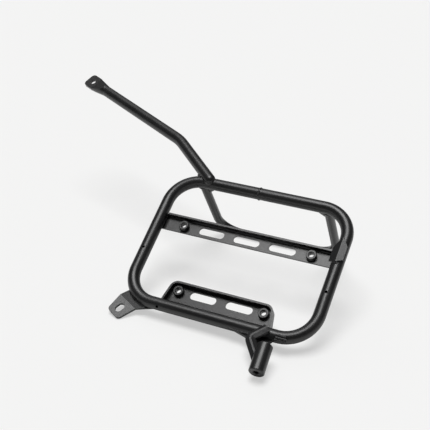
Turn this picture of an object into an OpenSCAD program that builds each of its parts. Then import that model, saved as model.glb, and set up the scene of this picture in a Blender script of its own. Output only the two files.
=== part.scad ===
// Side luggage rack for a motorcycle.
// A closed loop of bent tube carries two slotted plates with weld nuts, a long arm with a
// flattened eye, a tab at one lower corner, a threaded boss below, a strap over one side
// and a stand-off hoop behind.
// Everything is drawn in the loop's own frame: X along the top tube, Y towards the top
// tube, Z out of the loop towards the side that carries the nuts. The last step lays the
// rack on a floor at Z = 0, on the hoop's crossbar and the tip of the corner tab.
// All sizes are in millimetres and degrees.

/* [Shown part] */
// Which part is drawn

/* [Loop tube] */
// Distance between the centrelines of the two side tubes
loop_width = 250; // [200:1:320]
// Distance between the centrelines of the top and bottom tubes
loop_height = 186; // [150:1:240]
// Centreline radius of the four corner bends
loop_bend = 40; // [30:1:60]
// Outside diameter of the loop tube
tube_d = 16; // [14:0.5:22]
// Wall thickness of the loop tube
tube_wall = 1.6; // [1:0.1:3]
// Diameter of the small drain holes drilled in the loop
drain_d = 3.6; // [2:0.1:6]
// Height of the two side drain holes, measured from the loop's middle
drain_y = -25; // [-60:1:0]
// Distance from the loop's middle to the drain hole in the bottom tube
low_drain_x = 73; // [70:1:82]
// Distance of the tube's own butt weld from the loop's middle
butt_x = -5; // [-30:1:30]
// Width of the butt weld's ring
butt_w = 3.4; // [2:0.1:6]
// Height of the butt weld's ring above the tube
butt_h = 0.45; // [0.2:0.05:1]

/* [Upper arm] */
// Foot of the arm, distance from the loop's middle
arm_foot_x = -78; // [-90:1:-60]
// Foot of the arm, height of its centreline above the loop's plane
arm_foot_z = 6; // [2:0.5:8]
// Heading of the arm's lower run, measured from the top tube
arm_heading = 141; // [120:1:160]
// Angle at which the arm falls behind the loop's plane
arm_drop = 4.8; // [0:0.2:10]
// Length of the arm's lower run, foot to bend
arm_low = 93; // [70:1:130]
// Angle of the bend between the two runs
arm_turn = 15; // [5:1:30]
// Length of the arm's upper run, bend to eye
arm_high = 213; // [150:1:300]
// Centreline radius of the arm's bend
arm_bend = 70; // [40:1:120]
// Outside diameter of the arm tube
arm_d = 16; // [12:0.5:18]
// Width of the flattened eye
eye_w = 23; // [20:0.5:30]
// Thickness of the flattened eye
eye_t = 4.6; // [3:0.1:7]
// Diameter of the hole in the eye
eye_hole = 9; // [6:0.1:11]
// Length of the eye beyond its hole
eye_tip = 11.5; // [9:0.5:18]
// Length of the flat behind the hole
eye_back = 9; // [7:0.5:20]
// Length over which the tube is pressed flat
eye_taper = 26; // [18:1:40]
// Corner radius of the eye's end
eye_round = 6; // [3:0.5:10]

/* [Stand-off hoop] */
// Distance between the centrelines of the hoop's two legs
hoop_width = 178; // [150:1:200]
// Depth from the loop's plane to the crossbar's centreline
hoop_depth = 123; // [80:1:150]
// Outside diameter of the hoop tube
hoop_d = 12; // [10:0.5:14]
// Centreline radius of the hoop's two bends
hoop_bend = 32; // [24:1:45]
// Length of the small webs between hoop legs and top tube
web_l = 11; // [8:0.5:16]
// Height of the small webs
web_h = 8; // [5:0.5:12]
// Thickness of the small webs
web_t = 3; // [2:0.5:5]

/* [Mounting plates] */
// Sheet thickness of both plates
plate_t = 2.5; // [2:0.1:4]
// Front face of both plates, measured behind the loop's plane
plate_face = 6.5; // [4:0.1:7.5]
// Length of the slots in both plates
slot_l = 36; // [24:0.5:40]
// Width of the slots in both plates
slot_w = 10.5; // [8:0.1:12]
// Inside radius of the sheet's folds
fold_r = 1.5; // [1:0.1:3]
// Upper plate, lower edge
up_low = 14.5; // [0:0.5:20]
// Upper plate, outside of its top flange
up_top = 36; // [32:0.5:50]
// Upper plate, height of its top flange including the sheet
up_flange = 10; // [6:0.5:14]
// Upper plate, height of its row of slots and nuts
up_row = 23.5; // [22:0.5:28]
// Upper plate, spacing of its three slots
up_pitch = 49.5; // [44:0.5:54]
// Upper plate, distance between its two nuts
up_nuts = 178; // [170:1:186]
// Lower plate, outside of its top flange
low_top = -56.5; // [-64:0.5:-40]
// Lower plate, half its width at the top
low_half = 68.4; // [66:0.2:74]
// Lower plate, how far each side spreads per millimetre of height
low_spread = 0.196; // [0:0.01:0.3]
// Lower plate, height of its flange including the sheet
low_flange = 11; // [7:0.5:14]
// Lower plate, outside radius of its two corners
low_round = 11; // [8:0.5:16]
// Lower plate, height of its row of slots and nuts
low_row = -68; // [-74:0.5:-64]
// Lower plate, spacing of its two slots
low_pitch = 49.2; // [44:0.5:54]
// Lower plate, distance between its two nuts
low_nuts = 116; // [110:1:122]

/* [Weld nuts] */
// Outside diameter of the nuts' round bodies
nut_d = 14; // [11:0.5:18]
// Height of the nuts above the plates
nut_h = 5.6; // [4:0.2:9]
// Diameter of the nuts' threaded bores
nut_bore = 6.8; // [4:0.1:8.5]
// Chamfer on the nuts' free ends
nut_chamfer = 0.8; // [0.3:0.1:1.5]

/* [Corner tab] */
// Sheet thickness of the tab
tab_t = 3.5; // [2.5:0.1:5]
// Front face of the tab's root, measured behind the loop's plane
tab_face = 2; // [0:0.1:4]
// Direction in which the tab leaves the loop
tab_heading = -116; // [-130:1:-105]
// Angle at which the tab's end is bent forwards
tab_fold = 8; // [3:1:15]
// Width of the tab's end
tab_w = 23; // [19:0.5:30]
// Width of the tab at its fold
tab_w_fold = 31; // [27:0.5:36]
// Length from the fold to the tab's end
tab_l = 25; // [22:0.5:34]
// Middle of the fold, distance from the centre of the loop's corner bend
tab_reach = 57; // [54:0.5:64]
// Middle of the fold, its direction from the centre of the corner bend
tab_place = -124.5; // [-128:0.5:-118]
// Width of the tab's slotted hole
tab_slot_w = 9; // [6:0.1:10]
// Overall length of the tab's slotted hole
tab_slot_l = 13; // [10:0.1:15]
// Distance from the tab's end to the middle of its hole
tab_edge = 12; // [10:0.5:16]
// Corner radius of the tab's end
tab_round = 5; // [2:0.5:8]

/* [Boss and its bracket] */
// Outside diameter of the boss
boss_d = 19; // [16:0.5:24]
// Length of the boss
boss_l = 37; // [28:0.5:50]
// Diameter of the boss's threaded bore
boss_bore = 6.8; // [4:0.1:10]
// Depth of the boss's threaded bore
boss_depth = 26; // [15:0.5:27]
// Chamfer on the boss's ends
boss_edge = 0.8; // [0.3:0.1:1.5]
// Middle of the boss's inner end, distance from the loop's middle
boss_x = 82; // [74:0.5:90]
// Middle of the boss's inner end, below the bottom tube's centreline
boss_drop = 22.5; // [20:0.5:34]
// Middle of the boss's inner end, height above the loop's plane
boss_z = 22; // [18:0.5:30]
// Angle at which the boss leans forwards of the loop's plane
boss_lean = 9; // [0:0.5:15]
// Angle at which the boss points sideways
boss_yaw = 5; // [0:0.5:10]
// Thickness of the bent bar that carries the boss
bar_t = 4; // [3:0.1:6]
// Width of the bent bar
bar_w = 12; // [8:0.5:16]
// Angle at which the bar rises from the bottom tube
bar_rise = 16; // [8:1:24]
// Length of the bar from the bottom tube to its elbow
bar_elbow = 17; // [12:0.5:24]
// Sideways distance of the bar's elbow from the boss
bar_side = 25; // [20:0.5:30]
// Sideways distance of the bar's start from the boss
bar_start = 11; // [6:0.5:16]
// Distance along the bar's plane from the bottom tube to the bar's end
bar_l = 42; // [34:0.5:50]
// Sheet thickness of the stay under the boss
stay_t = 3; // [2:0.1:5]
// Angle at which the stay rises towards the boss
stay_rise = 35; // [28:1:45]
// Sideways reach of the stay's long wing
stay_long = 58; // [40:1:66]
// Sideways reach of the stay's short wing
stay_short = 19; // [15:1:24]

/* [Side strap] */
// Sheet thickness of the strap that sits over the right side tube
strap_t = 2.5; // [1.5:0.1:4]
// Lower end of the strap
strap_low = 16; // [10:1:24]
// Upper end of the strap
strap_high = 53; // [42:1:60]
// Angle between the strap's face and its wing
strap_angle = 60; // [50:1:70]
// Width of the strap's face beyond the tube's middle
strap_out = 7; // [5:0.5:9]
// Length of the strap's side beside the tube
strap_lap = 3; // [2:0.5:5]
// Length of the strap's wing
strap_wing = 11; // [8:0.5:14]
// Width of the strap's slot
strap_slot_w = 3; // [2:0.1:4]
// Length of the strap's slot
strap_slot_l = 9; // [6:0.5:14]

/* [Welds] */
// Leg length of the weld beads
weld = 2; // [1:0.1:3]

/* [Hidden] */
$fn = 96;
// Straight steps in each rounded corner of a sheet's outline
arc_steps = 12;
// Bends are drawn this much slimmer than the straight tube, so that the two join cleanly.
slim = 0.02;
steel = [0.09, 0.09, 0.1];
bead = [0.14, 0.14, 0.15];
zinc = [0.2, 0.2, 0.21];
tube_r = tube_d / 2;
arm_r = arm_d / 2;
hoop_r = hoop_d / 2;
side_x = loop_width / 2;
end_y = loop_height / 2;
run_x = side_x - loop_bend;
run_y = end_y - loop_bend;
plate_back = plate_face + plate_t;
// Half length of the upper plate: its ends reach under the side tubes.
up_half = side_x - 2;
// The lower plate reaches under the bottom tube.
low_end = -end_y + 2;
// Middle of the tab's fold.
tab_x = -run_x + tab_reach * cos(tab_place);
tab_y = -run_y + tab_reach * sin(tab_place);
// The arm's bend starts and ends this far from its corner point.
arm_cut = arm_bend * tan(arm_turn / 2);
arm_foot_y = end_y + 2;
// The boss's inner end.
boss_y = -end_y - boss_drop;
// The rack's rest: the hoop's crossbar and the tab's lower end corner stand on the floor.
// The corner is round, so the point that touches depends on the tilt and is found in steps.
tip_along = tab_l - tab_round;
tab_pivot = 0.3;
tip_y = tab_y + sin(tab_heading) * (tip_along * cos(tab_fold) + tab_pivot * sin(tab_fold))
    - abs(cos(tab_heading)) * (tab_w / 2 - tab_round);
tip_z = tab_pivot - tab_face - tab_t + tip_along * sin(tab_fold) - tab_pivot * cos(tab_fold);
span_y = end_y - tip_y;
span_z = tip_z + hoop_depth;
function facing(a) = cos(tab_fold) * cos(a) - sin(tab_fold) * sin(tab_heading) * sin(a);
function reach(a) = tab_round * sqrt(1 - facing(a) * facing(a));
function lie(a, n) = n == 0 ? a
    : lie(atan2(span_z, span_y) + asin((hoop_r - reach(a)) / norm([span_y, span_z])), n - 1);
tilt = lie(30, 6);
lift = hoop_r + hoop_depth * cos(tilt) - end_y * sin(tilt);
// The origin is the middle of the rack's box, on the floor. The arm's eye reaches furthest
// left and back, the boss furthest forward and the loop furthest right.
function turn_x(v, a) = [v[0], v[1] * cos(a) - v[2] * sin(a), v[1] * sin(a) + v[2] * cos(a)];
function turn_y(v, a) = [v[0] * cos(a) + v[2] * sin(a), v[1], v[2] * cos(a) - v[0] * sin(a)];
function turn_z(v, a) = [v[0] * cos(a) - v[1] * sin(a), v[0] * sin(a) + v[1] * cos(a), v[2]];
function arm_point(v) = [arm_foot_x, arm_foot_y, arm_foot_z] + turn_z(turn_y(v, arm_drop), arm_heading);
function eye_corner(s) = turn_x(arm_point([arm_low, 0, 0] + turn_z([arm_high + eye_tip - eye_round,
    s * (eye_w / 2 - eye_round), 0], arm_turn)), tilt);
eye_up = turn_x(turn_z(turn_y([0, 0, 1], arm_drop), arm_heading), tilt);
function eye_reach(i) = eye_round * sqrt(1 - eye_up[i] * eye_up[i]) + eye_t / 2 * abs(eye_up[i]);
boss_out = turn_z(turn_x([0, 0, 1], 90 - boss_lean), boss_yaw);
boss_tip = turn_x([boss_x, boss_y, boss_z] + boss_l * boss_out, tilt);
box_left = min(eye_corner(1)[0], eye_corner(-1)[0]) - eye_reach(0);
box_right = side_x + tube_r;
box_back = max(eye_corner(1)[1], eye_corner(-1)[1]) + eye_reach(1);
box_front = boss_tip[1] - (boss_d / 2 - boss_edge) * sqrt(1 - pow(turn_x(boss_out, tilt)[1], 2));

// Helpers

// Lays what is drawn in the loop's frame on the floor.
module lay() {
    translate([-(box_left + box_right) / 2, -(box_front + box_back) / 2, lift])
        rotate([tilt, 0, 0])
            children();
}

// A round bar from point a to point b.
module rod(a, b, r) {
    d = b - a;
    translate(a)
        rotate([0, acos(d[2] / norm(d)), atan2(d[1], d[0])])
            cylinder(h = norm(d), r = r);
}

// A straight length of tube from point a to point b.
module pipe(a, b, r, wall) {
    u = (b - a) / norm(b - a);
    difference() {
        rod(a, b, r);
        rod(a - u, b + u, r - wall);
    }
}

// A bend in the XY plane about the origin, from the X axis through the angle.
module pipe_bend(turn, angle, r, wall) {
    rotate_extrude(angle = angle)
        translate([turn, 0])
            difference() {
                circle(r = r);
                circle(r = r - wall);
            }
}

// The same bend as a solid bar.
module rod_bend(turn, angle, r) {
    rotate_extrude(angle = angle)
        translate([turn, 0])
            circle(r = r);
}

// Puts a bend at each of the loop's four corners.
module at_corners() {
    for (i = [0:3]) {
        sx = i == 0 || i == 3 ? 1 : -1;
        sy = i < 2 ? 1 : -1;
        translate([sx * run_x, sy * run_y, 0])
            rotate([0, 0, i * 90])
                children();
    }
}

// The loop as a solid bar, for fitting other pieces to it.
module loop_solid(r) {
    for (s = [-1, 1]) {
        rod([-run_x, s * end_y, 0], [run_x, s * end_y, 0], r);
        rod([s * side_x, -run_y, 0], [s * side_x, run_y, 0], r);
    }
    at_corners()
        rod_bend(loop_bend, 90, r);
}

// A slotted hole along X, cut through from z = 0 to h.
module slot(l, w, h) {
    for (s = [-1, 1])
        translate([s * (l - w) / 2, 0, 0])
            cylinder(h = h, r = w / 2);
    translate([-(l - w) / 2, -w / 2, 0])
        cube([l - w, w, h]);
}

// Points along an arc, for the rounded corners of sheet outlines.
function arc(c, r, from, to) = [for (i = [0:arc_steps]) c + r * [cos(from + (to - from) * i / arc_steps),
    sin(from + (to - from) * i / arc_steps)]];

// Mirrors a list of points about the Y axis, or about the X axis, in reverse order.
function flip_x(v) = [for (i = [len(v) - 1:-1:0]) [-v[i][0], v[i][1]]];
function flip_y(v) = [for (i = [len(v) - 1:-1:0]) [v[i][0], -v[i][1]]];

// A round weld nut, standing on z = 0.
module weld_nut() {
    difference() {
        union() {
            cylinder(h = nut_h - nut_chamfer, r = nut_d / 2);
            translate([0, 0, nut_h - nut_chamfer])
                cylinder(h = nut_chamfer, r1 = nut_d / 2, r2 = nut_d / 2 - nut_chamfer);
        }
        translate([0, 0, -1])
            cylinder(h = nut_h + 2, r = nut_bore / 2);
        translate([0, 0, nut_h - nut_chamfer])
            cylinder(h = nut_chamfer + 0.01, r1 = nut_bore / 2, r2 = nut_bore / 2 + nut_chamfer);
    }
}

// Loop tube

module loop_tube() {
    color(steel)
        lay()
            difference() {
                union() {
                    for (s = [-1, 1]) {
                        pipe([-run_x, s * end_y, 0], [run_x, s * end_y, 0], tube_r, tube_wall);
                        pipe([s * side_x, -run_y, 0], [s * side_x, run_y, 0], tube_r, tube_wall);
                    }
                    at_corners()
                        pipe_bend(loop_bend, 90, tube_r, tube_wall);
                }
                for (s = [-1, 1])
                    translate([s * side_x, drain_y, 0])
                        cylinder(h = tube_d, r = drain_d / 2);
                translate([-low_drain_x, -end_y, 0])
                    rotate([50, 0, 0])
                        cylinder(h = tube_d, r = drain_d / 2);
            }
}

module loop_butt_weld() {
    color(bead)
        lay()
            translate([butt_x, end_y, 0])
                rotate([0, 90, 0])
                    difference() {
                        cylinder(h = butt_w, r = tube_r + butt_h, center = true);
                        cylinder(h = butt_w + 2, r = tube_r, center = true);
                    }
}

// Upper arm

// Puts children in the arm's own frame: X along its lower run, the bend in its XY plane.
module arm_frame() {
    translate([arm_foot_x, arm_foot_y, arm_foot_z])
        rotate([0, arm_drop, arm_heading])
            children();
}

// Puts children at the start of the arm's upper run, X along it.
module arm_upper() {
    translate([arm_low, 0, 0])
        rotate([0, 0, arm_turn])
            translate([arm_cut, 0, 0])
                children();
}

module arm_eye() {
    run = arm_high - arm_cut - eye_back - eye_taper;
    flat = eye_back + eye_tip;
    upper = concat(arc([flat - eye_round, eye_w / 2 - eye_round], eye_round, 0, 90), [[0, eye_w / 2]]);
    difference() {
        union() {
            pipe([-1, 0, 0], [run, 0, 0], arm_r, tube_wall);
            translate([run, 0, 0])
                intersection() {
                    rotate([0, 90, 0])
                        cylinder(h = eye_taper, r1 = arm_r, r2 = eye_w / 2);
                    rotate([90, 0, 0])
                        linear_extrude(height = eye_w + 2, center = true)
                            polygon([[-1, arm_r + 1], [0, arm_r + 1], [eye_taper, eye_t / 2],
                                [eye_taper, -eye_t / 2], [0, -arm_r - 1], [-1, -arm_r - 1]]);
                }
            translate([run + eye_taper, 0, -eye_t / 2])
                linear_extrude(height = eye_t)
                    polygon(concat(upper, flip_y(upper)));
        }
        translate([run + eye_taper + eye_back, 0, -eye_t])
            cylinder(h = 2 * eye_t, r = eye_hole / 2);
    }
}

// The arm's lower end is closed and round.
module arm_plug() {
    rotate([0, 90, 0])
        rotate_extrude()
            intersection() {
                union() {
                    circle(r = arm_r);
                    square([arm_r, arm_r]);
                }
                translate([0, -arm_r])
                    square([arm_r, 2 * arm_r]);
            }
}

module upper_arm() {
    color(steel)
        lay()
            difference() {
                arm_frame() {
                    arm_plug();
                    pipe([arm_r, 0, 0], [arm_low - arm_cut + 1, 0, 0], arm_r, tube_wall);
                    translate([arm_low - arm_cut, arm_bend, 0])
                        rotate([0, 0, -90])
                            pipe_bend(arm_bend, arm_turn, arm_r - slim, tube_wall - 2 * slim);
                    arm_upper()
                        arm_eye();
                }
                loop_solid(tube_r);
            }
}

// The bead fills the corner where the grown arm and the grown top tube meet.
module arm_weld() {
    color(bead)
        lay()
            difference() {
                intersection() {
                    arm_frame() {
                        sphere(r = arm_r + weld);
                        rod([0, 0, 0], [arm_r + 8, 0, 0], arm_r + weld);
                    }
                    rod([-run_x, end_y, 0], [0, end_y, 0], tube_r + weld);
                }
                arm_frame() {
                    sphere(r = arm_r);
                    rod([0, 0, 0], [arm_low - arm_cut, 0, 0], arm_r);
                }
                loop_solid(tube_r);
            }
}

// Stand-off hoop

module standoff_hoop() {
    x = hoop_width / 2;
    turn = x - hoop_bend;
    color(steel)
        lay()
            difference() {
                translate([0, end_y, -hoop_depth])
                    union() {
                        pipe([-turn, 0, 0], [turn, 0, 0], hoop_r, tube_wall);
                        for (s = [-1, 1])
                            pipe([s * x, 0, hoop_bend], [s * x, 0, hoop_depth], hoop_r, tube_wall);
                        for (s = [0, 1])
                            translate([(s * 2 - 1) * turn, 0, hoop_bend])
                                rotate([90, 0, 0])
                                    rotate([0, 0, 180 + s * 90])
                                        pipe_bend(hoop_bend, 90, hoop_r, tube_wall);
                    }
                loop_solid(tube_r);
            }
}

module hoop_webs() {
    x = hoop_width / 2 - hoop_r;
    color(steel)
        lay()
            difference() {
                for (s = [-1, 1])
                    translate([0, end_y + web_t / 2, 0])
                        rotate([90, 0, 0])
                            linear_extrude(height = web_t)
                                polygon([[s * (x + 1), 0], [s * (x + 1), -tube_r - web_h],
                                    [s * x, -tube_r - web_h], [s * (x - web_l), -tube_r],
                                    [s * (x - web_l), 0]]);
                loop_solid(tube_r);
                for (s = [-1, 1])
                    translate([s * hoop_width / 2, end_y, -hoop_depth + hoop_bend])
                        cylinder(h = hoop_depth, r = hoop_r);
            }
}

module hoop_welds() {
    color(bead)
        lay()
            difference() {
                intersection() {
                    for (s = [-1, 1])
                        translate([s * hoop_width / 2, end_y, -2 * tube_r])
                            cylinder(h = 2 * tube_r, r = hoop_r + weld);
                    loop_solid(tube_r + weld);
                }
                for (s = [-1, 1])
                    translate([s * hoop_width / 2, end_y, -3 * tube_r])
                        cylinder(h = 4 * tube_r, r = hoop_r);
                translate([-side_x, end_y - web_t / 2, -3 * tube_r])
                    cube([side_x * 2, web_t, 3 * tube_r]);
                loop_solid(tube_r);
                arm_frame()
                    rod([-arm_r, 0, 0], [3 * arm_r, 0, 0], arm_r + weld);
            }
}

// Mounting plates

// The bends of the sheet are drawn as a quarter ring between two flats.
module up_profile() {
    out = fold_r + plate_t;
    translate([up_low, -plate_back])
        square([up_top - out - up_low, plate_t]);
    translate([up_top - plate_t, -plate_back + out])
        square([plate_t, up_flange - out]);
    translate([up_top - out, -plate_back + out])
        intersection() {
            difference() {
                circle(r = out);
                circle(r = fold_r);
            }
            translate([0, -out])
                square([out, out]);
        }
}

module upper_plate() {
    color(steel)
        lay()
            difference() {
                translate([-up_half, 0, 0])
                    rotate([90, 0, 90])
                        linear_extrude(height = 2 * up_half)
                            up_profile();
                for (s = [-1, 1])
                    rod([s * side_x, -run_y, 0], [s * side_x, run_y, 0], tube_r);
                for (i = [-1:1])
                    translate([i * up_pitch, up_row, -plate_back - 1])
                        slot(slot_l, slot_w, plate_t + 2);
                for (s = [-1, 1])
                    translate([s * up_nuts / 2, up_row, -plate_back - 1])
                        cylinder(h = plate_t + 2, r = nut_bore / 2 + 0.6);
            }
}

module upper_plate_nuts() {
    color(zinc)
        lay()
            for (s = [-1, 1])
                translate([s * up_nuts / 2, up_row, -plate_face])
                    weld_nut();
}

// A short bead with round ends, from point a to point b.
module bead_line(a, b, r) {
    rod(a, b, r);
    translate(a)
        sphere(r = r);
    translate(b)
        sphere(r = r);
}

module upper_plate_welds() {
    edge = side_x - sqrt(tube_r * tube_r - plate_face * plate_face) - weld / 4;
    color(bead)
        lay()
            difference() {
                for (s = [-1, 1]) {
                    bead_line([s * edge, up_low - 1, -plate_face + 0.5],
                        [s * edge, up_low + 3, -plate_face + 0.5], weld);
                    bead_line([s * edge, up_top - plate_t - 5, -plate_face + 0.5],
                        [s * edge, up_top + 1, -plate_face + 0.5], weld);
                }
                translate([-up_half, 0, 0])
                    rotate([90, 0, 90])
                        linear_extrude(height = 2 * up_half)
                            up_profile();
                for (s = [-1, 1])
                    rod([s * side_x, -run_y, 0], [s * side_x, run_y, 0], tube_r);
            }
}

// A block with the tray's outline, set in by a wall, down to a given height.
module low_block(inset, bottom) {
    g = sqrt(1 + low_spread * low_spread);
    c = [low_half + low_round * (low_spread - g), low_top - low_round];
    side = low_half + low_spread * (low_top - bottom) - inset * g;
    right = concat([[side, bottom]], arc(c, low_round - inset, atan(low_spread), 90));
    linear_extrude(height = low_flange)
        polygon(concat(right, flip_x(right)));
}

module low_tray() {
    difference() {
        translate([0, 0, -plate_back])
            low_block(0, low_end);
        translate([0, 0, -plate_face])
            low_block(plate_t, low_end - 2);
    }
}

module lower_plate() {
    color(steel)
        lay()
            difference() {
                low_tray();
                rod([-run_x, -end_y, 0], [run_x, -end_y, 0], tube_r);
                for (s = [-1, 1]) {
                    translate([s * low_pitch / 2, low_row, -plate_back - 1])
                        slot(slot_l, slot_w, plate_t + 2);
                    translate([s * low_nuts / 2, low_row, -plate_back - 1])
                        cylinder(h = plate_t + 2, r = nut_bore / 2 + 0.6);
                }
            }
}

module lower_plate_nuts() {
    color(zinc)
        lay()
            for (s = [-1, 1])
                translate([s * low_nuts / 2, low_row, -plate_face])
                    weld_nut();
}

module lower_plate_welds() {
    y = -end_y + sqrt(tube_r * tube_r - plate_face * plate_face) + weld / 4;
    far = low_half - 6;
    color(bead)
        lay()
            difference() {
                for (r = [[-far, -far + 14], [-38, 38], [far - 14, far]])
                    bead_line([r[0], y, -plate_face + 0.5], [r[1], y, -plate_face + 0.5], weld);
                low_tray();
                rod([-run_x, -end_y, 0], [run_x, -end_y, 0], tube_r);
            }
}

// Corner tab

function on_corner(a, r) = [-run_x + r * cos(a), -run_y + r * sin(a)];

module tab_root() {
    side = [-sin(tab_heading), cos(tab_heading)] * tab_w_fold / 2;
    fold = [tab_x, tab_y];
    polygon([fold + side, [-run_x - 7, -end_y - tube_r - 1.8],
        [-run_x + 12, -end_y - tube_r / 2], [-run_x + 12, -end_y],
        on_corner(270, loop_bend), on_corner(247, loop_bend), on_corner(225, loop_bend),
        on_corner(220, loop_bend + tube_r / 2), fold - side]);
}

// The end's sides run from the fold to touch the two round corners.
module tab_end() {
    c = [tab_l - tab_round, tab_w / 2 - tab_round];
    e = [0, tab_w_fold / 2];
    a = atan2(c[1] - e[1], c[0] - e[0]) + asin(tab_round / norm(c - e));
    upper = concat(arc(c, tab_round, 0, a + 90), [e]);
    polygon(concat(upper, flip_y(upper)));
}

module corner_tab() {
    color(steel)
        lay()
            difference() {
                union() {
                    translate([0, 0, -tab_face - tab_t])
                        linear_extrude(height = tab_t)
                            tab_root();
                    translate([tab_x, tab_y, tab_pivot - tab_face - tab_t])
                        rotate([0, -tab_fold, tab_heading])
                            translate([0, 0, -tab_pivot])
                                difference() {
                                    linear_extrude(height = tab_t)
                                        tab_end();
                                    translate([tab_l - tab_edge, 0, -1])
                                        slot(tab_slot_l, tab_slot_w, tab_t + 2);
                                }
                }
                loop_solid(tube_r);
            }
}

module corner_tab_weld() {
    color(bead)
        lay()
            difference() {
                intersection() {
                    translate([0, 0, -tab_face])
                        linear_extrude(height = tab_face + weld)
                            tab_root();
                    loop_solid(tube_r + weld);
                }
                loop_solid(tube_r);
            }
}

// Boss and its bracket

module boss_frame() {
    translate([boss_x, boss_y, boss_z])
        rotate([90 - boss_lean, 0, boss_yaw])
            children();
}

module boss_body(grow) {
    boss_frame()
        cylinder(h = boss_l, r = boss_d / 2 + grow);
}

module boss() {
    c = boss_edge;
    r = boss_d / 2;
    color(steel)
        lay()
            boss_frame()
                difference() {
                    union() {
                        cylinder(h = c, r1 = r - c, r2 = r);
                        translate([0, 0, c])
                            cylinder(h = boss_l - 2 * c, r = r);
                        translate([0, 0, boss_l - c])
                            cylinder(h = c, r1 = r, r2 = r - c);
                    }
                    translate([0, 0, boss_l - boss_depth])
                        cylinder(h = boss_depth + 1, r = boss_bore / 2);
                    translate([0, 0, boss_l - c])
                        cylinder(h = c + 0.01, r1 = boss_bore / 2, r2 = boss_bore / 2 + c);
                }
}

// The bent bar lies in a plane that rises from the top of the bottom tube.
module bar_frame() {
    translate([boss_x, -end_y, tube_r])
        rotate([-bar_rise, 0, 0])
            children();
}

module bar_outline(grow) {
    w = bar_w + 2 * grow;
    foot = [-bar_start, 4];
    elbow = [-bar_side, -bar_elbow];
    tip = [-(boss_d / 2 + bar_w / 2 - 3), -bar_l];
    for (run = [[foot, elbow], [elbow, tip]]) {
        d = run[1] - run[0];
        translate(run[0])
            rotate(atan2(d[1], d[0]))
                translate([0, -w / 2])
                    square([norm(d), w]);
    }
    translate(foot)
        circle(r = w / 2);
    translate(elbow)
        circle(r = w / 2);
}

module boss_bar() {
    color(steel)
        lay()
            difference() {
                bar_frame()
                    linear_extrude(height = bar_t)
                        bar_outline(0);
                rod([-run_x, -end_y, 0], [run_x, -end_y, 0], tube_r);
                boss_body(0);
            }
}

// The stay is a flat sheet that rises from the front of the bottom tube.
module stay_frame() {
    translate([boss_x, -end_y - tube_r * 0.75, -3])
        rotate([-stay_rise, 0, 0])
            children();
}

module stay_outline() {
    polygon([[-stay_long, 3], [-stay_long, -1], [-bar_side - 8, -9], [-20, -19], [-9, -27],
        [8, -27], [stay_short - 5, -8], [stay_short, -1], [stay_short, 3]]);
}

module boss_stay() {
    color(steel)
        lay()
            difference() {
                stay_frame()
                    linear_extrude(height = stay_t)
                        stay_outline();
                loop_solid(tube_r);
                boss_body(0);
            }
}

module boss_welds() {
    color(bead)
        lay()
            difference() {
                union() {
                    intersection() {
                        boss_body(weld);
                        bar_frame()
                            translate([0, 0, bar_t])
                                linear_extrude(height = weld)
                                    bar_outline(0);
                    }
                    intersection() {
                        boss_frame()
                            translate([0, 0, -weld])
                                cylinder(h = 12, r = boss_d / 2 + weld);
                        stay_frame()
                            translate([0, 0, stay_t])
                                linear_extrude(height = weld)
                                    stay_outline();
                    }
                    intersection() {
                        rod([-run_x, -end_y, 0], [run_x, -end_y, 0], tube_r + weld);
                        bar_frame()
                            translate([0, 0, -weld])
                                linear_extrude(height = bar_t)
                                    bar_outline(weld);
                    }
                    intersection() {
                        loop_solid(tube_r + weld);
                        stay_frame()
                            translate([0, 0, stay_t])
                                linear_extrude(height = weld * 2)
                                    stay_outline();
                    }
                }
                bar_frame()
                    linear_extrude(height = bar_t)
                        bar_outline(0);
                loop_solid(tube_r);
                boss_body(0);
            }
}

// Side strap

// The sheet lies flat on the tube and folds down to a wing on its inner side.
module side_strap() {
    top = min(strap_high, run_y);
    wing = up_top - plate_t - 1;
    middle = (strap_low + top) / 2;
    knee = (tube_r + strap_t / 2) * tan(strap_angle / 2);
    color(steel)
        lay()
            difference() {
                union() {
                    translate([side_x - knee, strap_low, tube_r])
                        cube([strap_out + knee, top - strap_low, strap_t]);
                    translate([side_x, strap_low, 0])
                        rotate([0, -strap_angle, 0])
                            translate([-strap_lap, 0, tube_r])
                                cube([strap_lap + knee, top - strap_low, strap_t]);
                    translate([side_x, strap_low, 0])
                        rotate([0, -strap_angle, 0])
                            translate([-strap_wing, 0, tube_r])
                                cube([strap_wing, wing - strap_low, strap_t]);
                }
                translate([side_x + strap_out / 2, middle + 5, tube_r - 1])
                    rotate([0, 0, 90])
                        slot(strap_slot_l, strap_slot_w, strap_t + 2);
                translate([side_x + strap_out, middle + 4, tube_r - 1])
                    rotate([0, 0, 18])
                        cube([20, 40, strap_t + 2]);
                translate([side_x + strap_out / 2, strap_low, tube_r - 1])
                    rotate([0, 0, -50])
                        cube([20, 10, strap_t + 2]);
            }
}

module side_strap_welds() {
    color(bead)
        lay()
            difference() {
                for (y = [strap_low - weld, min(strap_high, run_y)])
                    rod([side_x, y, 0], [side_x, y + weld, 0], tube_r + strap_t - 0.5);
                loop_solid(tube_r);
                translate([side_x + strap_out - 2, strap_low - 9, -20])
                    cube([20, 80, 40]);
                translate([side_x - 20, strap_low - 9, -20])
                    cube([40, 80, 20]);
            }
}

loop_tube();
loop_butt_weld();
upper_arm();
arm_weld();
standoff_hoop();
hoop_webs();
hoop_welds();
upper_plate();
upper_plate_nuts();
upper_plate_welds();
lower_plate();
lower_plate_nuts();
lower_plate_welds();
corner_tab();
corner_tab_weld();
boss();
boss_bar();
boss_stay();
boss_welds();
side_strap();
side_strap_welds();
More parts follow.
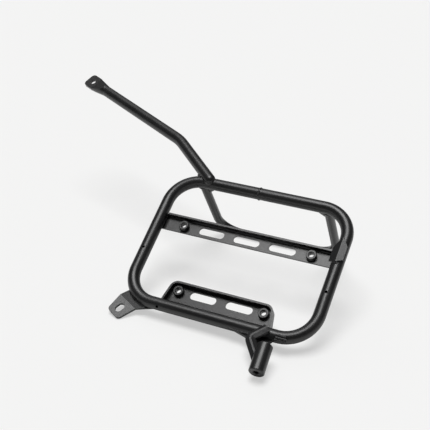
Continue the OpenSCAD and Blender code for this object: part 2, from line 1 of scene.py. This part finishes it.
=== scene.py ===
# %% [markdown]
# A side luggage rack for a motorcycle, photographed as it lies on a pale floor.
# The CAD model gives every tube, plate and boss its place, and this script gives them their
# looks: black powder coat, rippled weld beads, soft light from above and the camera's place.
# The frame is loaded first.
# Sizes of the rack are in millimetres; sizes in materials are in metres, as Blender reads them.

import math

import bpy
import numpy as np
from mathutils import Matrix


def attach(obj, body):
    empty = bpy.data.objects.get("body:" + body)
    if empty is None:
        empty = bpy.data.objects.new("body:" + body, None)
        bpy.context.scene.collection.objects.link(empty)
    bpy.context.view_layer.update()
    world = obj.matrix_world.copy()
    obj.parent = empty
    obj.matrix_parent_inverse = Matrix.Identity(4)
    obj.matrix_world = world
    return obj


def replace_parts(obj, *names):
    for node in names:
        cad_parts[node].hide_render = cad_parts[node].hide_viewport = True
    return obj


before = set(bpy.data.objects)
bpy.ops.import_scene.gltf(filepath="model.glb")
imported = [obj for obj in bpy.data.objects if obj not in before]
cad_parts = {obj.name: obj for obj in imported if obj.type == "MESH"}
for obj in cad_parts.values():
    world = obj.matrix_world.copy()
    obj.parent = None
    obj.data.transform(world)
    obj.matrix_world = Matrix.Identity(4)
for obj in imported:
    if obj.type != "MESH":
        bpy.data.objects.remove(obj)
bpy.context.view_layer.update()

# %% [markdown]
# The rack was drawn flat, in the plane of its loop, and then tipped up to lie on its hoop and
# its corner tab. Welds follow lines that are simplest in that flat drawing, so one function
# carries points from the drawing to the floor: a turn about X, then a shift. The sizes named
# here are the radii of the loop's and the hoop's tubes, half the loop's width and height, and
# the radius of its corners, each from tube middle to tube middle, and the hoop legs' places.

# %% From the flat drawing to the floor
MM = 0.001
TILT = math.radians(30.317)
SHIFT = np.array([112.217, -40.437, 65.234])
TUBE = 8.0
HOOP = 6.0
HALF_WIDTH = 125.0
HALF_HEIGHT = 93.0
LOOP_BEND = 40.0
LEG_X = 89.0


def laid(points):
    """Turns points by the tilt about X, adds the shift, and gives metres."""
    c, s = math.cos(TILT), math.sin(TILT)
    turn = np.array([[1, 0, 0], [0, c, -s], [0, s, c]])
    return (np.asarray(points, float) @ turn.T + SHIFT) * MM


print("middle of the loop", laid([0, 0, 0]))

# %% [markdown]
# Shader maths reads best as plain sums. A small class wraps a node's socket, and Python's
# operators on it add the Math nodes, so that a mask is written as 1 - wear * 0.5.
# Every other node comes from one method, which takes its type, settings and inputs.


# %% Shader maths as expressions
class Wire:
    """A node's output that Python's operators work on."""

    def __init__(self, bench, socket):
        self.bench, self.socket = bench, socket

    def _sum(self, operation, first, second):
        return self.bench.add("ShaderNodeMath", {"operation": operation}, {0: first, 1: second})

    def __add__(self, other):
        return self._sum("ADD", self, other)

    def __sub__(self, other):
        return self._sum("SUBTRACT", self, other)

    def __mul__(self, other):
        return self._sum("MULTIPLY", self, other)

    def __rsub__(self, other):
        return self._sum("SUBTRACT", other, self)

    __radd__ = __add__
    __rmul__ = __mul__


class Bench:
    """One material and the nodes that make it."""

    def __init__(self, name):
        self.material = bpy.data.materials.new(name)
        self.material.use_nodes = True
        self.tree = self.material.node_tree
        self.tree.nodes.clear()

    def add(self, kind, settings=None, inputs=None, out=0):
        """Adds a node: its settings first, then the values or links of its sockets."""
        node = self.tree.nodes.new(kind)
        for key, value in (settings or {}).items():
            setattr(node, key, value)
        for key, value in (inputs or {}).items():
            if isinstance(value, Wire):
                self.tree.links.new(value.socket, node.inputs[key])
            else:
                node.inputs[key].default_value = value
        return Wire(self, node.outputs[out])

    def place(self):
        """The point on the piece, in metres, in the piece's own frame."""
        return self.add("ShaderNodeTexCoord", out="Object")

    def noise(self, size, detail=2.0, roughness=0.5):
        """Soft cloudy values from 0 to 1, whose patches are about the given size in metres."""
        return self.add("ShaderNodeTexNoise", None, {"Vector": self.place(), "Scale": 1 / size,
                        "Detail": detail, "Roughness": roughness})

    def ramp(self, value, low, high):
        """0 below the low value, 1 above the high one, and a straight line between."""
        return self.add("ShaderNodeMapRange", {"clamp": True},
                        {"Value": value, "From Min": low, "From Max": high})

    def blend(self, factor, first, second):
        """Goes from the first colour to the second as the factor goes from 0 to 1."""
        node = self.tree.nodes.new("ShaderNodeMix")
        node.data_type = "RGBA"
        for socket, value in ((node.inputs[0], factor), (node.inputs[6], first),
                              (node.inputs[7], second)):
            if isinstance(value, Wire):
                self.tree.links.new(value.socket, socket)
            else:
                socket.default_value = value
        return Wire(self, node.outputs[2])

    def finish(self, colour, rough, height, depth, **fixed):
        """Joins colour, roughness and a height map to one Principled shader."""
        bump = self.add("ShaderNodeBump", None, {"Height": height, "Distance": depth,
                        "Strength": 1.0})
        inputs = {"Base Color": colour, "Roughness": rough, "Normal": bump}
        inputs.update({key.replace("_", " "): value for key, value in fixed.items()})
        shader = self.add("ShaderNodeBsdfPrincipled", None, inputs)
        self.add_output(shader)
        return self.material

    def add_output(self, shader):
        """Leads the shader to the material's output."""
        node = self.tree.nodes.new("ShaderNodeOutputMaterial")
        self.tree.links.new(shader.socket, node.inputs["Surface"])


print("shader bench ready")

# %% [markdown]
# Powder coat is sprayed on as dust and baked. It melts into a tough satin skin with a fine
# waviness, called orange peel. Up close the black is not even: it is a little greyer and
# duller in patches where it is thin or handled, and dotted with fine dust. All of this is
# read from the point on the piece, so it holds still when the camera moves.

# %% Powder coat
DUST_GREY = (0.09, 0.09, 0.092, 1)


def powder_coat(name, black, rough, peel, dust_size):
    """Satin black: patchy colour and roughness, orange peel at the given height in metres."""
    b = Bench(name)
    patches = b.noise(size=0.035, detail=4.0, roughness=0.6)
    dust = b.ramp(b.noise(dust_size, detail=3.0, roughness=0.7), low=0.62, high=0.78)
    scuffed = b.ramp(b.noise(size=0.009, detail=8.0, roughness=0.8), low=0.6, high=0.72)
    scuffs = scuffed * b.ramp(patches, low=0.45, high=0.6)
    thick_black = (black, black, black * 1.04, 1)
    thin_black = (black * 1.7, black * 1.7, black * 1.78, 1)
    coat = b.blend(b.ramp(patches, low=0.35, high=0.7), thick_black, thin_black)
    colour = b.blend(dust * 0.35, coat, DUST_GREY)
    level = b.ramp(patches, low=0.3, high=0.7) * 0.09 + dust * 0.12 + scuffs * 0.16 + rough
    height = b.noise(size=0.0016, detail=1.0) * 0.75 + b.noise(size=0.0005, detail=1.0) * 0.25
    return b.finish(colour, level, height, peel, Coat_Weight=0.12, Coat_Roughness=0.3)


tube_coat = powder_coat("tube_powder_coat", black=0.006, rough=0.3, peel=0.00009, dust_size=0.0012)
sheet_coat = powder_coat("sheet_powder_coat", black=0.007, rough=0.3, peel=0.00007, dust_size=0.0014)
print("coats", tube_coat.name, sheet_coat.name)

# %% [markdown]
# Weld beads and weld nuts wear the same coat, but it sits on them in another way. On a bead
# it runs off the crowns of small lumps, which turn greyer and duller. On a nut it is rubbed
# by the bolts, so specks of grey steel show through. One material with many switches could
# do all of this, but two short ones are easier to read.

# %% Coat on beads and nuts


def bead_coat():
    """Black over a rough bead: lumpy at about a millimetre, greyer where it is thin."""
    b = Bench("bead_powder_coat")
    lumps = b.noise(size=0.0022, detail=5.0, roughness=0.7)
    thin = b.ramp(lumps, low=0.45, high=0.75)
    colour = b.blend(thin, (0.012, 0.012, 0.0125, 1), (0.034, 0.034, 0.036, 1))
    level = b.ramp(lumps, low=0.3, high=0.7) * 0.2 + 0.32
    return b.finish(colour, level, lumps, 0.00035, Coat_Weight=0.1, Coat_Roughness=0.35)


def nut_coat():
    """Black with rubbed specks of steel: the specks are metal, smoother and lighter."""
    b = Bench("nut_powder_coat")
    worn = b.ramp(b.noise(size=0.0024, detail=6.0, roughness=0.75), low=0.64, high=0.72)
    colour = b.blend(worn, (0.006, 0.006, 0.0062, 1), (0.16, 0.16, 0.164, 1))
    level = 0.34 - worn * 0.05
    height = b.noise(size=0.0011, detail=2.0)
    return b.finish(colour, level, height, 0.00008, Metallic=worn * 0.8)


bead_black, nut_black = bead_coat(), nut_coat()
print("coats", bead_black.name, nut_black.name)

# %% [markdown]
# Each CAD node whose shape is right stays as it is and only takes its finish: tubes the tube
# coat, sheet pieces the sheet coat, nuts and beads their own. Its mesh comes from the exact
# model, so drawing it again would add nothing.

# %% Give the CAD nodes their finish
SHEET = ("upper_plate", "lower_plate", "corner_tab", "boss_bar", "boss_stay", "side_strap",
         "hoop_webs")
for name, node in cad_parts.items():
    if name.endswith(("weld", "welds")):
        finish = bead_black
    elif name.endswith("nuts"):
        finish = nut_black
    else:
        finish = sheet_coat if name in SHEET else tube_coat
    for place in node.material_slots:
        place.material = finish
    print(name, finish.name)

# %% [markdown]
# A weld bead is a row of small overlapping puddles. The CAD model holds smooth beads, which
# show where the seams are. Here each is replaced by a rippled one: a round bead carried
# along the seam, whose radius swells and falls once per puddle, with a little seeded
# unevenness. Part of it is sunk in the pieces that it joins, so only its crown shows. Ripples
# could also be a bump map, but real ones show in the bead's outline.

# %% A rippled bead along a seam
BEAD_STEP = 0.45
BEAD_SIDES = 14
RISE_SHARE = 0.7
SWELL, UNEVEN = 0.13, 0.05
NO_SEAM_WAY = np.array([0.31, 0.22, 0.93])


def even_steps(path, step, closed):
    """Points at equal distances along the path, about one step apart."""
    if closed:
        path = np.vstack([path, path[:1]])
    along = np.concatenate([[0], np.cumsum(np.linalg.norm(np.diff(path, axis=0), axis=1))])
    count = max(int(along[-1] / step), 8)
    marks = np.linspace(0, along[-1], count + (0 if closed else 1), endpoint=not closed)
    return np.stack([np.interp(marks, along, path[:, k]) for k in range(3)], axis=1), marks


def bead(path, radius, puddle=2.6, closed=False, seed=1):
    """Grid of rings: centre on the path, radius times 0.9 + ripple, where the ripple rises
    slowly and drops fast over each puddle. Open beads taper almost to a point at both ends.
    Each ring starts at the part across the path of NO_SEAM_WAY, along which no seam runs."""
    centre, marks = even_steps(np.asarray(path, float), BEAD_STEP, closed)
    ahead = np.roll(centre, -1, 0) - np.roll(centre, 1, 0)
    if not closed:
        ahead[0], ahead[-1] = centre[1] - centre[0], centre[-1] - centre[-2]
    ahead /= np.linalg.norm(ahead, axis=1)[:, None]
    up = NO_SEAM_WAY - (ahead @ NO_SEAM_WAY)[:, None] * ahead
    up /= np.linalg.norm(up, axis=1)[:, None]
    side = np.cross(ahead, up)
    count = max(round((marks[-1] + BEAD_STEP) / puddle), 2) if closed else marks[-1] / puddle
    phase = marks / (marks[-1] + (marks[1] if closed else 0)) * count
    turn = phase % 1
    chance = np.random.default_rng(seed).uniform(-1, 1, int(count) + 2)
    wave = np.where(turn < RISE_SHARE, turn / RISE_SHARE, (1 - turn) / (1 - RISE_SHARE))
    ring = radius * (0.9 + SWELL * wave + UNEVEN * chance[phase.astype(int)])
    if not closed:
        ends = np.minimum(marks, marks[-1] - marks) / radius
        ring *= np.sqrt(np.clip(1 - (1 - np.clip(ends, 0, 1)) ** 2, 0.003, 1))
    angle = np.linspace(0, 2 * math.pi, BEAD_SIDES, endpoint=False)[None, :, None]
    spokes = np.cos(angle) * up[:, None] + np.sin(angle) * side[:, None]
    return centre[:, None] + ring[:, None, None] * spokes, closed


def grids_to_piece(name, grids, finish):
    """Joins grids of rings into one mesh: quads between rings, and one flat face at each open end."""
    points, faces, base = [], [], 0
    for grid, closed in grids:
        rows, cols = grid.shape[:2]
        index = base + np.arange(rows * cols).reshape(rows, cols)
        here = index if closed else index[:-1]
        there = np.roll(index, -1, 0) if closed else index[1:]
        quads = np.stack([here, np.roll(here, -1, 1), np.roll(there, -1, 1), there], -1)
        faces += quads.reshape(-1, 4).tolist()
        if not closed:
            faces += [index[0][::-1].tolist(), index[-1].tolist()]
        points.append(grid.reshape(-1, 3))
        base += rows * cols
    mesh = bpy.data.meshes.new(name)
    mesh.from_pydata(laid(np.concatenate(points)).tolist(), [], faces)
    mesh.shade_smooth()
    mesh.materials.append(finish)
    piece = bpy.data.objects.new(name, mesh)
    bpy.context.collection.objects.link(piece)
    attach(piece, "root")
    print(name, len(faces), "faces")
    return piece


def weld_piece(name, beads):
    """The beads of one group of seams as a piece in the bead finish."""
    return grids_to_piece(name, beads, bead_black)


print("bead step", BEAD_STEP, "mm,", BEAD_SIDES, "sides")

# %% [markdown]
# The seams are lines in the flat drawing. The hoop's legs meet the top tube in a saddle: going
# round the leg, the depth is the height of the tube's surface at that point. The top tube's
# own butt weld is a ring round it. Both are formulas, so the beads lie on the tube all round.

# %% Beads round the hoop's legs and the top tube
TUBE_BEAD = 1.7
BUTT_X, BUTT_SUNK = -5.0, 0.8
round_turn = np.linspace(0, 2 * math.pi, 120, endpoint=False)


def saddle(x):
    """Round the leg: x plus r cos a, y plus r sin a, and z on the tube's surface there."""
    r, surface = HOOP + 0.5, TUBE + 0.4
    reach = r * np.sin(round_turn)
    return np.stack([x + r * np.cos(round_turn), HALF_HEIGHT + reach,
                     -np.sqrt(surface ** 2 - reach ** 2)], -1)


hoop_beads = [bead(saddle(s * LEG_X), TUBE_BEAD, closed=True, seed=3 + s) for s in (-1, 1)]
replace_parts(weld_piece("rippled_hoop_beads", hoop_beads), "hoop_welds")

butt_radius = TUBE - BUTT_SUNK
butt = np.stack([np.full(len(round_turn), BUTT_X), HALF_HEIGHT + butt_radius * np.cos(round_turn),
                 butt_radius * np.sin(round_turn)], -1)
butt_beads = [bead(butt, TUBE_BEAD, closed=True, seed=9)]
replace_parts(weld_piece("rippled_butt_bead", butt_beads), "loop_butt_weld")

# %% [markdown]
# The plates are tacked, not welded all along. Each end of the upper plate has a short and a
# longer bead on the side tube, and the lower plate has a long bead on the bottom tube between
# two short ones. A straight bead needs no more than its two ends.

# %% Beads along the plates
PLATE_BEAD = 1.9
PLATE_SEAM_LEVEL = -6.1
UPPER_SEAM_X, LOWER_SEAM_Y = HALF_WIDTH - 4.9, -HALF_HEIGHT + 5.1
UPPER_RUNS = ((13.0, 19.0), (27.5, 37.5))
LOWER_RUNS = ((-64.0, -46.5), (-40.0, 40.0), (46.5, 64.0))


def line(start, end):
    """Twelve points on the straight line from start to end."""
    return np.linspace(start, end, 12)


upper_seams = [line([s * UPPER_SEAM_X, low, PLATE_SEAM_LEVEL], [s * UPPER_SEAM_X, high, PLATE_SEAM_LEVEL])
               for s in (-1, 1) for low, high in UPPER_RUNS]
upper_beads = [bead(seam, PLATE_BEAD, seed=20 + k) for k, seam in enumerate(upper_seams)]
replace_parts(weld_piece("rippled_upper_beads", upper_beads), "upper_plate_welds")

lower_seams = [line([low, LOWER_SEAM_Y, PLATE_SEAM_LEVEL], [high, LOWER_SEAM_Y, PLATE_SEAM_LEVEL])
               for low, high in LOWER_RUNS]
lower_beads = [bead(seam, PLATE_BEAD, seed=30 + k) for k, seam in enumerate(lower_seams)]
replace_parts(weld_piece("rippled_lower_beads", lower_beads), "lower_plate_welds")

# %% [markdown]
# Two seams are curved. The tab's bead follows the outside of the loop's lower left corner. The
# arm's bead runs where the arm leaves the top tube: each line along the arm's surface goes
# through the tube's surface at the larger root of a quadratic. It could be drawn by eye, but
# the worked-out line lies on both tubes.

# %% Beads at the tab and the arm
TAB_SEAM_LEVEL = -1.7
ARM_FOOT, ARM_HEADING, ARM_DROP, ARM_BEAD = np.array([-78.0, 95.0, 6.0]), 141.0, 4.8, 2.0

corner = np.radians(np.linspace(221, 263, 60))
corner_reach = LOOP_BEND + TUBE - 0.2
tab_seam = np.stack([LOOP_BEND - HALF_WIDTH + corner_reach * np.cos(corner),
                     LOOP_BEND - HALF_HEIGHT + corner_reach * np.sin(corner),
                     np.full(len(corner), TAB_SEAM_LEVEL)], -1)
tab_beads = [bead(tab_seam, TUBE_BEAD, seed=61)]
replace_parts(weld_piece("rippled_tab_bead", tab_beads), "corner_tab_weld")


def arm_seam(foot, heading, drop):
    """Points foot + r (Y cos f + Z sin f) + t X, where r is the tubes' radius and t the larger
    root of |point - tube's middle line| = r. Only the part where t is above zero is kept."""
    h, d = math.radians(heading), math.radians(drop)
    about_z = np.array([[math.cos(h), -math.sin(h), 0], [math.sin(h), math.cos(h), 0], [0, 0, 1]])
    about_y = np.array([[math.cos(d), 0, math.sin(d)], [0, 1, 0], [-math.sin(d), 0, math.cos(d)]])
    turn = about_z @ about_y
    f = np.linspace(0, 2 * math.pi, 240, endpoint=False)
    start = foot + TUBE * (np.cos(f)[:, None] * turn[:, 1] + np.sin(f)[:, None] * turn[:, 2])
    ahead, gap = turn[1:, 0], start[:, 1:] - [HALF_HEIGHT, 0]
    a, b, c = ahead @ ahead, gap @ ahead, (gap ** 2).sum(1) - TUBE ** 2
    room = b * b - a * c
    t = np.where(room > 0, (-b + np.sqrt(np.maximum(room, 0))) / a, -1)
    seen = t > 0.5
    first = int(np.flatnonzero(seen & ~np.roll(seen, 1))[0])
    seam, kept = np.roll(start + t[:, None] * turn[:, 0], -first, 0), np.roll(seen, -first)
    return seam[:int(np.argmin(kept)) if not kept.all() else len(kept)]


arm_path = arm_seam(ARM_FOOT, ARM_HEADING, ARM_DROP)
print("arm seam", len(arm_path), "points")
arm_beads = [bead(arm_path, ARM_BEAD, seed=71)]
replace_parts(weld_piece("rippled_arm_bead", arm_beads), "arm_weld")

# %% [markdown]
# Five sheet pieces get finer shapes than the CAD solids that stand for them: the strap over
# the right side tube, the boss's bar and its stay, and the two webs under the hoop's legs.
# Each is a ring of corner points carried along a line. Flat shading and a small bevel keep
# their faces flat and round off their sheared edges, which a subdivided surface would not.

# %% Sheet pieces from rings of corners
SHEARED_EDGE = 0.4
SHARP_FROM = math.radians(25)


def sheared_piece(name, grids):
    """A flat-shaded piece from grids of rings, with small rounded edges."""
    rings = [(np.asarray(grid, float), False) for grid in grids]
    piece = grids_to_piece(name, rings, sheet_coat)
    piece.data.polygons.foreach_set("use_smooth", np.zeros(len(piece.data.polygons), bool))
    bevel = piece.modifiers.new("edges", "BEVEL")
    bevel.width, bevel.segments, bevel.limit_method = SHEARED_EDGE * MM, 2, "ANGLE"
    bevel.angle_limit = SHARP_FROM
    return piece


print("sheared edge", SHEARED_EDGE, "mm")


def strip_over_tube(fold_at, turn, inner, sheet, wing, face):
    """Outline of a sheet bent once over a round tube, as pairs of inner and outer points:
    wing end, fold, face end. Each flat touches the circle; the fold is where they meet."""
    half = math.radians(turn / 2)
    middle = math.radians(fold_at)

    def at(angle, radius, along):
        return np.array([radius * math.sin(angle) + along * math.cos(angle),
                         radius * math.cos(angle) - along * math.sin(angle)])

    left, right = middle - half, middle + half
    fold_way = np.array([math.sin(middle), math.cos(middle)])
    return [(at(left, inner, -wing), at(left, inner + sheet, -wing)),
            tuple(r / math.cos(half) * fold_way for r in (inner, inner + sheet)),
            (at(right, inner, face), at(right, inner + sheet, face))]


# %% [markdown]
# The strap's fold runs along the tube, a little to the inside. Its wing leans down to the
# upper plate and its face looks up, so the two catch the light quite differently. The cuts
# say how much shorter it is than at the fold, at the wing's end and at the face's end. A bend
# modifier could fold a flat strip, but three pairs of points say the same.

# %% The strap over the side tube
STRAP_LOW, STRAP_HIGH = 16.0, 52.0
LOW_CUTS, HIGH_CUTS = (1.0, 0.0, 5.0), (14.0, 0.0, 12.0)

strap_outline = strip_over_tube(fold_at=-7.0, turn=42.0, inner=TUBE, sheet=2.2, wing=7.0, face=5.0)
strap_rings = []
for (inner, outer), low_cut, high_cut in zip(strap_outline, LOW_CUTS, HIGH_CUTS):
    low, high = STRAP_LOW + low_cut, STRAP_HIGH - high_cut
    strap_rings.append([[HALF_WIDTH + x, y, z] for (x, z), y in (
        (inner, low), (outer, low), (outer, high), (inner, high))])
strap = sheared_piece("folded_strap", [strap_rings])
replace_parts(strap, "side_strap")

# %% [markdown]
# A bead holds each end of the strap. It lies on the tube, so its path is an arc of a circle
# a little wider than the tube.

# %% Beads at the strap's ends


def arc_over_tube(y, start, end):
    """x = half width + r sin a and z = r cos a, at one height y, from the start angle to the end."""
    a = np.radians(np.linspace(start, end, 40))
    reach = TUBE + 0.5
    return np.stack([HALF_WIDTH + reach * np.sin(a), np.full(len(a), y), reach * np.cos(a)], -1)


strap_beads = [bead(arc_over_tube(STRAP_LOW - 0.2, -38, 12), 1.2, puddle=2.0, seed=41),
               bead(arc_over_tube(STRAP_HIGH - 11.0, 4, 30), 1.1, puddle=2.0, seed=42)]
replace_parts(weld_piece("rippled_strap_beads", strap_beads), "side_strap_welds")

# %% [markdown]
# The bar that carries the boss is bent in its own plane, from the tube out to an elbow and
# back under the boss, and it has a low ridge along its middle. It could be cut out of a
# solid, but a section carried along a route keeps the ridge in the middle through the bend.

# %% The ridged bar
BAR_RISE, BAR_WIDTH, BAR_EDGE, BAR_RIDGE = math.radians(16), 12.0, 3.2, 5.4
BAR_CORNERS, BAR_BEND = [(-9.0, 3.0), (-24.0, -16.5), (-3.5, -44.0)], 6.0
BOSS_X = 82.0


def rounded_route(corners, radius, steps=8):
    """Straight runs through the corners, with each inner corner replaced by a quadratic curve:
    (1-t)^2 a + 2t(1-t) b + t^2 c, where a and c are the radius away from corner b."""
    route = [corners[0]]
    for a, b, c in zip(corners, corners[1:], corners[2:]):
        a, b, c = (np.asarray(v, float) for v in (a, b, c))
        start = b + radius * (a - b) / np.linalg.norm(a - b)
        end = b + radius * (c - b) / np.linalg.norm(c - b)
        t = np.linspace(0, 1, steps)[:, None]
        route += list((1 - t) ** 2 * start + 2 * t * (1 - t) * b + t ** 2 * end)
    return np.array([*route, corners[-1]], float)


def ridged_bar(route, width, edge, ridge):
    """Rings of six corners carried along a flat route: two at the bottom, two at the edges'
    height and two at the ridge; the sideways direction is the route's own, turned a quarter."""
    ahead = np.gradient(route, axis=0)
    ahead /= np.linalg.norm(ahead, axis=1)[:, None]
    side = np.stack([-ahead[:, 1], ahead[:, 0]], 1)
    offsets = ((-0.5, 0.0), (0.5, 0.0), (0.5, edge), (0.1, ridge), (-0.1, ridge), (-0.5, edge))
    return np.stack([np.concatenate([route + side * width * across,
                    np.full((len(route), 1), up)], 1) for across, up in offsets], 1)


def raised(points):
    """From the bar's plane to the flat drawing: a turn about X at the bottom tube's top."""
    c, s = math.cos(-BAR_RISE), math.sin(-BAR_RISE)
    x, y, z = np.moveaxis(points, -1, 0)
    return np.stack([x + BOSS_X, y * c - z * s - HALF_HEIGHT, y * s + z * c + TUBE], -1)


bar_route = rounded_route(BAR_CORNERS, BAR_BEND)
bar_rings = raised(ridged_bar(bar_route, BAR_WIDTH, BAR_EDGE, BAR_RIDGE))
bar = sheared_piece("ridged_bar", [bar_rings])
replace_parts(bar, "boss_bar")

# %% [markdown]
# Under the boss lies a stay: a flat sheet that starts at the front of the bottom tube. It has
# a long wing to the left and a tongue under the boss. Three rows of puddles lie on the tube to
# the right of the boss, and a thin fourth row runs along the wing's edge. A flat sheet needs
# only its outline at two heights.

# %% The stay and its beads
STAY_RISE, STAY_SHEET = math.radians(35), 3.0
STAY_FRONT, STAY_LEVEL = TUBE * 0.75, -3.0
STAY_OUTLINE = [(-58, 3), (-58, 0.5), (-33, -9), (-20, -19), (-9, -27), (-4, -26), (-3, -12),
                (0, -3), (0, 3)]


def on_stay(points, height):
    """From the stay's plane to the flat drawing: a turn about X at the bottom tube's front."""
    c, s = math.cos(-STAY_RISE), math.sin(-STAY_RISE)
    x, y = np.asarray(points, float).T
    return np.stack([x + BOSS_X, y * c - height * s - HALF_HEIGHT - STAY_FRONT,
                     y * s + height * c + STAY_LEVEL], -1)


stay_rings = [on_stay(STAY_OUTLINE[::-1], height) for height in (0.0, STAY_SHEET)]
stay = sheared_piece("boss_stay_sheet", [stay_rings])
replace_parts(stay, "boss_stay")


def on_bottom_tube(x, angle):
    """The point on the bottom tube at x from the boss, at an angle up from the tube's front."""
    a = math.radians(angle)
    return [BOSS_X + x, -HALF_HEIGHT - (TUBE + 0.2) * math.cos(a), (TUBE + 0.2) * math.sin(a)]


# Each row: its start and end along the tube, its angle up the tube and its radius.
STAY_ROWS = ((1.5, 17.5, 38, 1.7), (2.5, 18.0, 60, 1.7), (3.5, 16.5, 82, 1.6), (-57.0, -24.0, 24, 1.3))
stay_beads = [bead(line(on_bottom_tube(low, angle), on_bottom_tube(high, angle)), radius, seed=50 + k)
              for k, (low, high, angle, radius) in enumerate(STAY_ROWS)]
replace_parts(weld_piece("rippled_stay_beads", stay_beads), "boss_welds")

# %% [markdown]
# The webs are small three-cornered plates that brace the hoop's legs against the top tube.
# They reach a little into the leg and the tube, so no gap shows at their edges. Four corners
# and a thickness are all that such a plate needs.

# %% Webs
WEB_REACH, WEB_DEPTH, WEB_HALF, WEB_SUNK, WEB_TIP = 15.0, 15.0, 1.5, 1.5, 0.3
leg_side = LEG_X - HOOP
web_root, web_end = leg_side + 1.0, leg_side - WEB_REACH
web_grids = []
for s in (-1, 1):
    corners = [[s * web_root, -TUBE + WEB_SUNK], [s * web_root, -TUBE - WEB_DEPTH],
               [s * web_end, -TUBE + WEB_TIP], [s * web_end, -TUBE + WEB_SUNK]]
    web_grids.append([[[x, HALF_HEIGHT + y, z] for x, z in corners[::s]]
                      for y in (WEB_HALF, -WEB_HALF)])
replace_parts(sheared_piece("leg_webs", web_grids), "hoop_webs")

# %% [markdown]
# The floor is a wide pale sheet of paper. Where the camera sees it, a little more than half
# of its look is an even glow, so it stays a soft grey-white and its shadows stay faint, as on
# a retouched product photograph. For all other rays it is plain paper that throws light back.

# %% Floor
FLOOR_HALF = 6.0
FLOOR_TONE = 0.93
PAPER_WHITE = 0.56
PAPER_GLOW = (0.913, 0.913, 0.91, 1)
floor_mesh = bpy.data.meshes.new("floor")
floor_corners = [(x * FLOOR_HALF, y * FLOOR_HALF, 0) for x, y in ((-1, -1), (1, -1), (1, 1), (-1, 1))]
floor_mesh.from_pydata(floor_corners, [], [(0, 1, 2, 3)])
floor = bpy.data.objects.new("floor", floor_mesh)
bpy.context.collection.objects.link(floor)
b = Bench("floor_paper")
grain = b.noise(size=0.02, detail=3.0)
shade = b.blend(grain, (FLOOR_TONE, FLOOR_TONE, FLOOR_TONE * 0.995, 1),
                (FLOOR_TONE + 0.01, FLOOR_TONE + 0.01, FLOOR_TONE + 0.005, 1))
paper = b.add("ShaderNodeBsdfDiffuse", None, {"Color": shade})
glow = b.add("ShaderNodeEmission", None, {"Color": PAPER_GLOW, "Strength": 1.0})
seen = b.add("ShaderNodeLightPath", out="Is Camera Ray") * PAPER_WHITE
b.add_output(b.add("ShaderNodeMixShader", None, {0: seen, 1: paper, 2: glow}))
floor_mesh.materials.append(b.material)
print("floor", floor_mesh.name)

# %% [markdown]
# A wide soft lamp overhead, a faint one behind on the left and a dim, even world give the soft
# light of a product photograph, with long pale streaks on the tubes. The lamps are suns, so
# their light falls the same everywhere, and their width is what makes the shadows soft.

# %% Lamps and world
WORLD_STRENGTH = 0.12


def sky_lamp(name, towards, spread, strength):
    """A round soft lamp, infinitely far away in the given direction; the spread is its
    width as an angle."""
    data = bpy.data.lights.new(name, "SUN")
    data.angle, data.energy = math.radians(spread), strength
    light = bpy.data.objects.new(name, data)
    flat = math.hypot(towards[0], towards[1])
    light.rotation_euler = (math.atan2(flat, towards[2]), 0, math.atan2(towards[0], -towards[1]))
    bpy.context.collection.objects.link(light)
    print(name, towards, strength)


sky_lamp("overhead", towards=(-0.08, 0.04, 1.0), spread=38, strength=2.5)
sky_lamp("back_left", towards=(-0.5, 0.62, 0.75), spread=40, strength=0.2)
world = bpy.data.worlds.new("studio")
world.use_nodes = True
background = world.node_tree.nodes["Background"].inputs
background["Color"].default_value = (1, 1, 1, 1)
background["Strength"].default_value = WORLD_STRENGTH
bpy.context.scene.world = world
print("world", world.name, WORLD_STRENGTH)

# %% [markdown]
# The camera's place, turn and lens were worked out from the photograph by fitting the loop,
# the hoop and the arm of the flat drawing to their outlines. A camera turned by eye can match
# one tube well, and a fit holds them all at once.

# %% Camera
CAMERA_PLACE = (0.472472, -0.868883, 0.632814)
CAMERA_TURN = (60.5511, 0.48655, 25.1259)
LENS, SENSOR = 70.14, 36.0
camera_data = bpy.data.cameras.new("camera")
camera_data.lens, camera_data.sensor_width = LENS, SENSOR
camera_data.clip_start = 0.01
camera = bpy.data.objects.new("camera", camera_data)
camera.location = CAMERA_PLACE
camera.rotation_euler = [math.radians(angle) for angle in CAMERA_TURN]
bpy.context.collection.objects.link(camera)
bpy.context.scene.camera = camera
bpy.context.scene.view_settings.view_transform = "Standard"
print("camera", tuple(camera.location))
